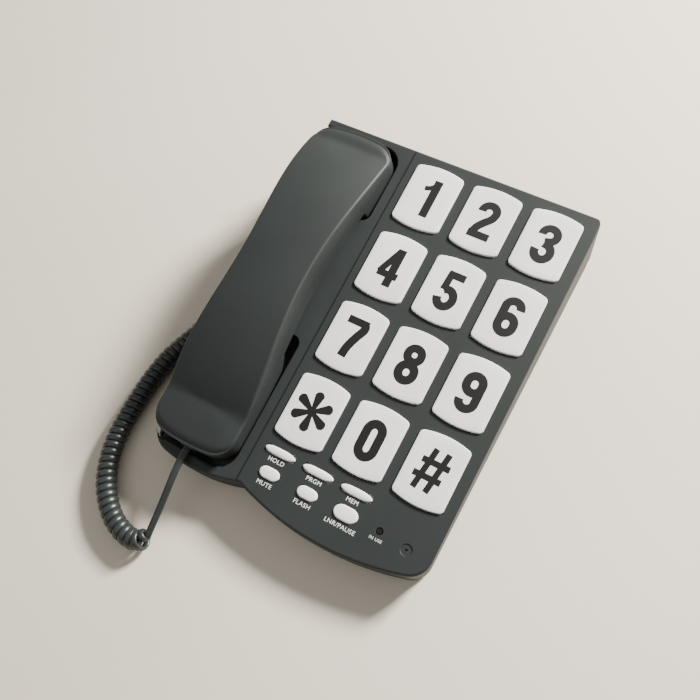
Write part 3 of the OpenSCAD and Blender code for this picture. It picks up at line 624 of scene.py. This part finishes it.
def on_outer_edge(p):
    """Whether a point is on the rim of the face, outside everything else."""
    if abs(p.z) > 0.2:
        return False
    side = p.x > BASE_HIGH.x - 0.2
    back = p.y > BASE_HIGH.y / UP.z - 0.3
    front = p.y < -98
    return side or back or front


def on_pocket_rim(p):
    """Whether a point is on the mouth of one of the handset's pockets."""
    return abs(p.z) < 0.2 and p.x < SPLIT_X - 2 and not -18 < p.y < 40


def make_base():
    softened("top_shell", "base_top_shell", [
        (on_outer_edge, RIM),
        (on_pocket_rim, 0.8),
        (lambda p: abs(p.z) < 0.2, LIP),
    ], before=fill_groove, after=cut_groove)
    softened("bottom_tray", "base_bottom_shell", [
        (lambda p: (FACE @ p).z < 2.1 and max(abs(p.x), abs(p.y)) > 80, 0.8),
    ])


make_base()

# --- Keys -------------------------------------------------------------------

FLANGE = 1
FLANGE_T = 1.2
# How each cap is made: edge radius, crown, and its stem's length and radius
KEY_CAP = (0.6, 0.15, 1.6, 4.5)
BUTTON_CAP = (0.8, 0.2, 2.4, 1.8)
PRINT_LIFT = 0.13  # from a key's flat top to the middle of its print


def make_button(name, node, outline, edge, crown, stem_t, stem_r):
    """A key or button: a flange under the face, walls and a softly crowned top."""
    middle, w, l = flat_top(node)
    low = min(p.z for p in face_points(node))
    top = middle.z
    shape = Shape()
    levels = [(-FLANGE, low + stem_t), (-FLANGE, low + stem_t + FLANGE_T),
              (0, low + stem_t + FLANGE_T), (0, top - edge)]
    for k in range(1, 5):
        a = math.radians(90 * k / 4)
        levels.append((edge * (1 - math.cos(a)), top - edge * (1 - math.sin(a))))
    loops = []
    for inset, z in levels:
        loops.append(shape.level([p + middle.xy for p in outline(w, l, inset)], z))
    rim = outline(w, l, edge)
    for k in range(1, 6):
        share = 1 - k / 6
        inner = [Vector((p.x * share, p.y * share)) + middle.xy for p in rim]
        loops.append(shape.level(inner, top + crown * (1 - share * share)))
    shape.skirt(loops)
    shape.cap(loops[0])
    shape.cap(loops[-1])
    stem = [shape.level(arc(middle.x, middle.y, stem_r, stem_r, 0, 345, 23), z)
            for z in (low, low + stem_t)]
    shape.skirt(stem)
    shape.cap(stem[0])
    shape.cap(stem[1])
    obj = piece(name, shape, BODY_OF[node], SLOT_OF[node])
    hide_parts(node)


def inside(point, region):
    """Whether a point lies in a region, from the edges it would cross going right."""
    crossed = 0
    for a, b in zip(region, region[1:] + region[:1]):
        if (a.y > point.y) != (b.y > point.y):
            crossed += point.x < a.x + (b.x - a.x) * (point.y - a.y) / (b.y - a.y)
    return crossed % 2 == 1


def printed(name, regions, at, height, body, slot, thick=0.04):
    """A thin flat print: the union of some regions, with its middle at that height."""
    points, faces = [], []
    for region in regions:
        faces.append(list(range(len(points), len(points) + len(region))))
        points.extend(region)
    flat, _, filled, *_ = delaunay_2d_cdt(points, [], faces, 0, 1e-4)
    triangles = []
    for face in filled:
        centre = sum((flat[i] for i in face), Vector((0, 0))) / len(face)
        if any(inside(centre, region) for region in regions):
            triangles.append(face)
    shape = Shape()
    top = shape.level([p + at for p in flat], height + thick)
    low = shape.level([p + at for p in flat], height - thick)
    borders = {}
    for face in triangles:
        shape.faces.append(tuple(top[i] for i in face))
        for a, b in zip(face, face[1:] + face[:1]):
            borders[(a, b)] = None
    for a, b in borders:
        if (b, a) not in borders:
            shape.faces.append((top[a], low[a], low[b], top[b]))
    piece(name, shape, body, slot)


def pen(path, width, soft=0.9):
    """The regions a broad pen covers along a path, its ends' corners rounded."""
    last = len(path) - 1
    ways = [(path[min(i + 1, last)] - path[max(i - 1, 0)]).normalized()
            for i in range(last + 1)]
    sides = [Vector((-w.y, w.x)) * width / 2 for w in ways]
    regions = [[path[i] - sides[i], path[i + 1] - sides[i + 1],
                path[i + 1] + sides[i + 1], path[i] + sides[i]] for i in range(last)]
    for end, side, out in ((path[0], sides[0], -ways[0]), (path[last], -sides[last], ways[last])):
        low = end - side + side.normalized() * soft
        high = end + side - side.normalized() * soft
        turn = math.degrees(math.atan2(-side.y, -side.x))
        regions.append(arc(low.x, low.y, soft, soft, turn, turn + 90, 4)
                       + arc(high.x, high.y, soft, soft, turn + 90, turn + 180, 4))
    return regions


def ring(x, y, rx, ry, width, straight=0.0):
    """A closed stroke round (x, y): two bowls joined by straight sides."""
    right = arc(x, y - straight, rx, ry, -90, 0, 12) + arc(x, y + straight, rx, ry, 0, 90, 12)
    left = [Vector((2 * x - p.x, 2 * y - p.y)) for p in right]
    path = right[:-1] + left[:-1]
    n = len(path)
    ways = [(path[(i + 1) % n] - path[i - 1]).normalized() for i in range(n)]
    sides = [Vector((-w.y, w.x)) * width / 2 for w in ways]
    return [[path[i] - sides[i], path[(i + 1) % n] - sides[(i + 1) % n],
             path[(i + 1) % n] + sides[(i + 1) % n], path[i] + sides[i]] for i in range(n)]


def corners(*points):
    return [Vector(p) for p in points]


def petal(angle, length=11.7, width=5.6):
    """A petal of the star: a narrow root and a round end."""
    r = width / 2
    end = arc(length - r, 0, r, r, -78, 78, 12)
    points = [Vector((-0.5, -0.8))] + end + [Vector((-0.5, 0.8))]
    turn = Matrix.Rotation(math.radians(angle), 2)
    return [turn @ p for p in points]


# Digits in a box about 13 wide and 23.5 high, from its lower left corner
FLAG = smoothed(corners((1.3, 16.9), (3.8, 17.5), (6.0, 19.2), (7.6, 22.4)), 4)
TAIL = smoothed(corners((10.7, 21.4), (11.9, 18.6), (9.4, 12.4), (7.3, 6.0), (6.6, 0)), 4)
GLYPHS = {
    "1": pen(corners((7.7, 0), (7.7, 23.5)), 4.9) + pen(FLAG, 2.9, 0.4),
    "2": pen(arc(6.8, 17.1, 4.2, 4.0, 190, 0, 14)
             + smoothed(corners((11.0, 17.1), (9.9, 13.6), (6.6, 9.9), (4.0, 6.4), (2.7, 2.4)),
                        4)[1:], 4.7) + pen(corners((0.3, 2.2), (13.0, 2.2)), 4.4),
    "3": pen(arc(6.5, 17.2, 4.2, 4.0, 190, -70, 20) + corners((5.2, 12.7)), 4.6)
    + pen(corners((5.2, 11.6)) + arc(6.5, 6.8, 4.4, 4.6, 75, -190, 22), 4.8),
    "4": pen(corners((1.2, 6.9), (13.5, 6.9)), 4.0) + pen(corners((9.4, 0), (9.4, 23.5)), 4.8)
    + pen(corners((2.3, 7.0), (8.7, 22.2)), 4.0),
    "5": pen(corners((2.4, 21.3), (12.4, 21.3)), 4.4) + pen(corners((4.2, 22), (3.5, 11.6)), 4.0)
    + pen(arc(6.6, 7.4, 4.4, 5.1, 128, -174, 24), 4.8),
    "6": pen(arc(6.83, 17.1, 4.2, 4.0, -4, 180, 16) + corners((2.63, 7.5)), 4.77)
    + ring(6.8, 7.2, 4.2, 4.2, 4.8, 0.6),
    "7": pen(corners((0.5, 21.3), (13.2, 21.3)), 4.4) + pen(TAIL, 5.0),
    "8": ring(6.7, 17.3, 3.8, 3.6, 4.7, 0.3) + ring(6.7, 6.9, 4.2, 4.1, 4.9, 0.4),
    "0": ring(6.7, 11.75, 4.2, 4.6, 5.0, 4.7),
    "star": [petal(30 + 60 * k) for k in range(6)],
    "hash": pen(corners((2.4, 0.2), (5.6, 23.2)), 3.3) + pen(corners((9.6, 0.2), (12.8, 23.2)), 3.3)
    + pen(corners((-0.9, 7.6), (14.8, 7.6)), 3.4) + pen(corners((0.5, 15.8), (16.2, 15.8)), 3.4),
}
GLYPHS["9"] = [[Vector((13.6 - p.x, 23.9 - p.y)) for p in region] for region in GLYPHS["6"]]


def make_keys():
    for node in (n for n in NODES if n.startswith("key_") and n != "key_mat"):
        mark = node[len("key_"):]
        make_button("cap_" + mark, node, key_outline, *KEY_CAP)
        middle, _, _ = flat_top(node)
        regions = GLYPHS[mark]
        low, high = extent([p.to_3d() for region in regions for p in region])
        at = middle.xy - ((low + high) / 2).xy
        printed("print_" + mark, regions, at, middle.z + PRINT_LIFT, BODY_OF[node], "black_plastic")
    for node in (n for n in NODES if n.endswith("_button")):
        make_button(node[:-len("_button")] + "_cap", node, bar_outline, *BUTTON_CAP)


make_keys()

# --- Lettering --------------------------------------------------------------

CAP_HEIGHT = 0.73


def lettering(name, words, x, y, height):
    """Small white lettering on the face, in plain capitals."""
    curve = bpy.data.curves.new(name, "FONT")
    curve.body = words
    curve.size = height / CAP_HEIGHT
    curve.align_x = "CENTER"
    curve.align_y = "CENTER"
    curve.resolution_u = 4
    curve.space_character = 1.08
    draft = bpy.data.objects.new(name + "_draft", curve)
    mesh = bpy.data.meshes.new_from_object(draft)
    mesh.name = name
    place = FACE @ Matrix.Translation((x, y, 0.04))
    mesh.transform(Matrix.Scale(MM, 4) @ place)
    bpy.data.objects.remove(draft)
    bpy.data.curves.remove(curve)
    mesh.materials.clear()
    dressed(name, mesh, "base", "button_plastic", 30)


def make_lettering():
    for node, words, drop in (
            ("hold_button", "HOLD", 4.9), ("program_button", "PRGM", 4.9),
            ("memory_button", "MEM", 4.9), ("mute_button", "MUTE", 6.2),
            ("flash_button", "FLASH", 6.2), ("redial_button", "LNR/PAUSE", 7.0)):
        middle, _, _ = flat_top(node)
        lettering("label_" + node, words, middle.x, middle.y - drop, 2.5)
    lamp_at, _, _ = flat_top("in_use_lamp")
    lettering("label_lamp", "IN USE", lamp_at.x, lamp_at.y - 4.6, 1.7)


make_lettering()

# --- Handset ----------------------------------------------------------------

HANDSET_LOW, HANDSET_HIGH = extent(face_points("handset_back_shell"))
HANDSET_X = (HANDSET_LOW.x + HANDSET_HIGH.x) / 2
HANDSET_Y = (HANDSET_LOW.y + HANDSET_HIGH.y) / 2
HALF_L = (HANDSET_HIGH.y - HANDSET_LOW.y) / 2
HALF_W = (HANDSET_HIGH.x - HANDSET_LOW.x) / 2
SEAM = HANDSET_LOW.z
WAIST_Y = 10.25
WAIST_REACH = 74
WAIST_IN = 4.4
END_BOW_R = 110
CORNER_R = 13
ARCH = 15
ARCH_REACH = 84
END_TOP = HANDSET_HIGH.z - ARCH
CROWN = 1.0
SIDE_EDGE = 1.5
MOUTH_EDGE = 7
EAR_EDGE = 7


def waist(y):
    """1 at the waist, 0 past its reach."""
    off = min(abs(y - WAIST_Y) / WAIST_REACH, 1)
    return (1 + math.cos(math.pi * off)) / 2


def handset_outline():
    """The handset seen from above, anticlockwise from its right side."""
    end = bowed_end(HALF_W, HALF_L, END_BOW_R, CORNER_R, 16)
    far = [p + Vector((0, HANDSET_Y)) for p in end]
    near = [-p + Vector((0, HANDSET_Y)) for p in end]
    low, high = near[-1].y, far[0].y
    steps = 48
    rise = [low + (high - low) * i / steps for i in range(1, steps)]
    right = [Vector((HALF_W - WAIST_IN * waist(y), y)) for y in rise]
    left = [Vector((-p.x, p.y)) for p in reversed(right)]
    return near + right + far + left


def inward(points):
    """The unit direction into a closed outline at each of its points."""
    n = len(points)
    ways = []
    for i in range(n):
        along = (points[(i + 1) % n] - points[i - 1]).normalized()
        ways.append(Vector((-along.y, along.x)))
    return ways


def back_edge(y):
    """Height of the back's edge."""
    off = abs(y - WAIST_Y) / ARCH_REACH
    return END_TOP - CROWN + ARCH * max(0, 1 - off ** 2.5)


def make_handset_back():
    outline = handset_outline()
    ways = inward(outline)
    shape = Shape()

    def level(inset, height):
        return shape.loop([
            Vector((p.x + w.x * inset + HANDSET_X, p.y + w.y * inset, height))
            for p, w in zip(outline, ways)])

    loops = [level(2.0, SEAM + 3), level(2.0, SEAM), level(0.45, SEAM), level(0.12, SEAM + 0.12),
             level(0.0, SEAM + 0.5)]
    edges = []
    for p, w in zip(outline, ways):
        end_share = w.y * w.y
        end_edge = MOUTH_EDGE if p.y < HANDSET_Y else EAR_EDGE
        edges.append(SIDE_EDGE + (end_edge - SIDE_EDGE) * end_share ** 0.8)
    for k in range(0, 9):
        a = math.radians(90 * k / 8)
        ring_points = []
        for p, w, r in zip(outline, ways, edges):
            q = p + w * r * (1 - math.cos(a))
            top = back_edge(q.y)
            drop = min(r, top - SEAM - 0.6) * (1 - math.sin(a))
            ring_points.append(Vector((q.x + HANDSET_X, q.y, top - drop)))
        loops.append(shape.loop(ring_points))
    rim = [p + w * r for p, w, r in zip(outline, ways, edges)]
    spine_low = HANDSET_Y - HALF_L + HALF_W + 2
    spine_high = HANDSET_Y + HALF_L - HALF_W - 2
    steps = 12
    for k in range(1, steps + 1):
        share = 1 - k / steps
        ring_points = []
        for p in rim:
            spine = Vector((0, min(max(p.y, spine_low), spine_high)))
            q = spine + (p - spine) * share
            top = back_edge(q.y) + CROWN * (1 - share * share)
            ring_points.append(Vector((q.x + HANDSET_X, q.y, top)))
        loops.append(shape.loop(ring_points))
    shape.skirt(loops)
    obj = piece("handset_back", shape, "handset", "charcoal_plastic", FACE, 40)
    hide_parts("handset_back_shell")


def make_handset():
    make_handset_back()
    softened("handset_face", "handset_face_shell", [
        (lambda p: p.z < SEAM - 0.5, 1.5),
        (lambda p: p.z > SEAM - 0.5, 0.3),
    ], 40)


make_handset()

# --- Pieces that keep their CAD shape --------------------------------------

def finish_nodes():
    for node, obj in NODES.items():
        obj.data.materials.clear()
        obj.data.materials.append(finishes[SLOT_OF[node]])


finish_nodes()

# --- Stage ------------------------------------------------------------------

def floor_finish():
    f = Finish("floor", Roughness=0.8)
    drift = f.noise(0.004, 2)
    f.feed("Base Color", f.mix(drift, (0.66, 0.595, 0.49, 1), (0.76, 0.69, 0.58, 1)))
    return f.material


def floor():
    mesh = bpy.data.meshes.new("floor")
    s = 6
    mesh.from_pydata([(-s, -s, 0), (s, -s, 0), (s, s, 0), (-s, s, 0)], [], [(0, 1, 2, 3)])
    mesh.materials.append(floor_finish())
    obj = bpy.data.objects.new("floor", mesh)
    bpy.context.scene.collection.objects.link(obj)


def area_light(name, at, size, power, colour):
    """A square light that points at the telephone."""
    data = bpy.data.lights.new(name, "AREA")
    data.shape = "SQUARE"
    data.size = size
    data.energy = power
    data.color = colour
    obj = bpy.data.objects.new(name, data)
    at = Vector(at)
    turn = (-at).to_track_quat("-Z", "Y").to_matrix().to_4x4()
    obj.matrix_world = Matrix.Translation(at) @ turn
    bpy.context.scene.collection.objects.link(obj)


def surroundings(strength, colour):
    studio = bpy.data.worlds.new("studio")
    studio.use_nodes = True
    background = studio.node_tree.nodes["Background"]
    background.inputs["Color"].default_value = (*colour, 1)
    background.inputs["Strength"].default_value = strength
    bpy.context.scene.world = studio


floor()
surroundings(0.36, (1.0, 0.98, 0.95))
area_light("key_light", (0.55, 1.05, 0.75), 0.3, 84, (1.0, 0.97, 0.92))
area_light("fill_light", (-0.6, -0.9, 1.2), 1.2, 3, (0.95, 0.97, 1.0))
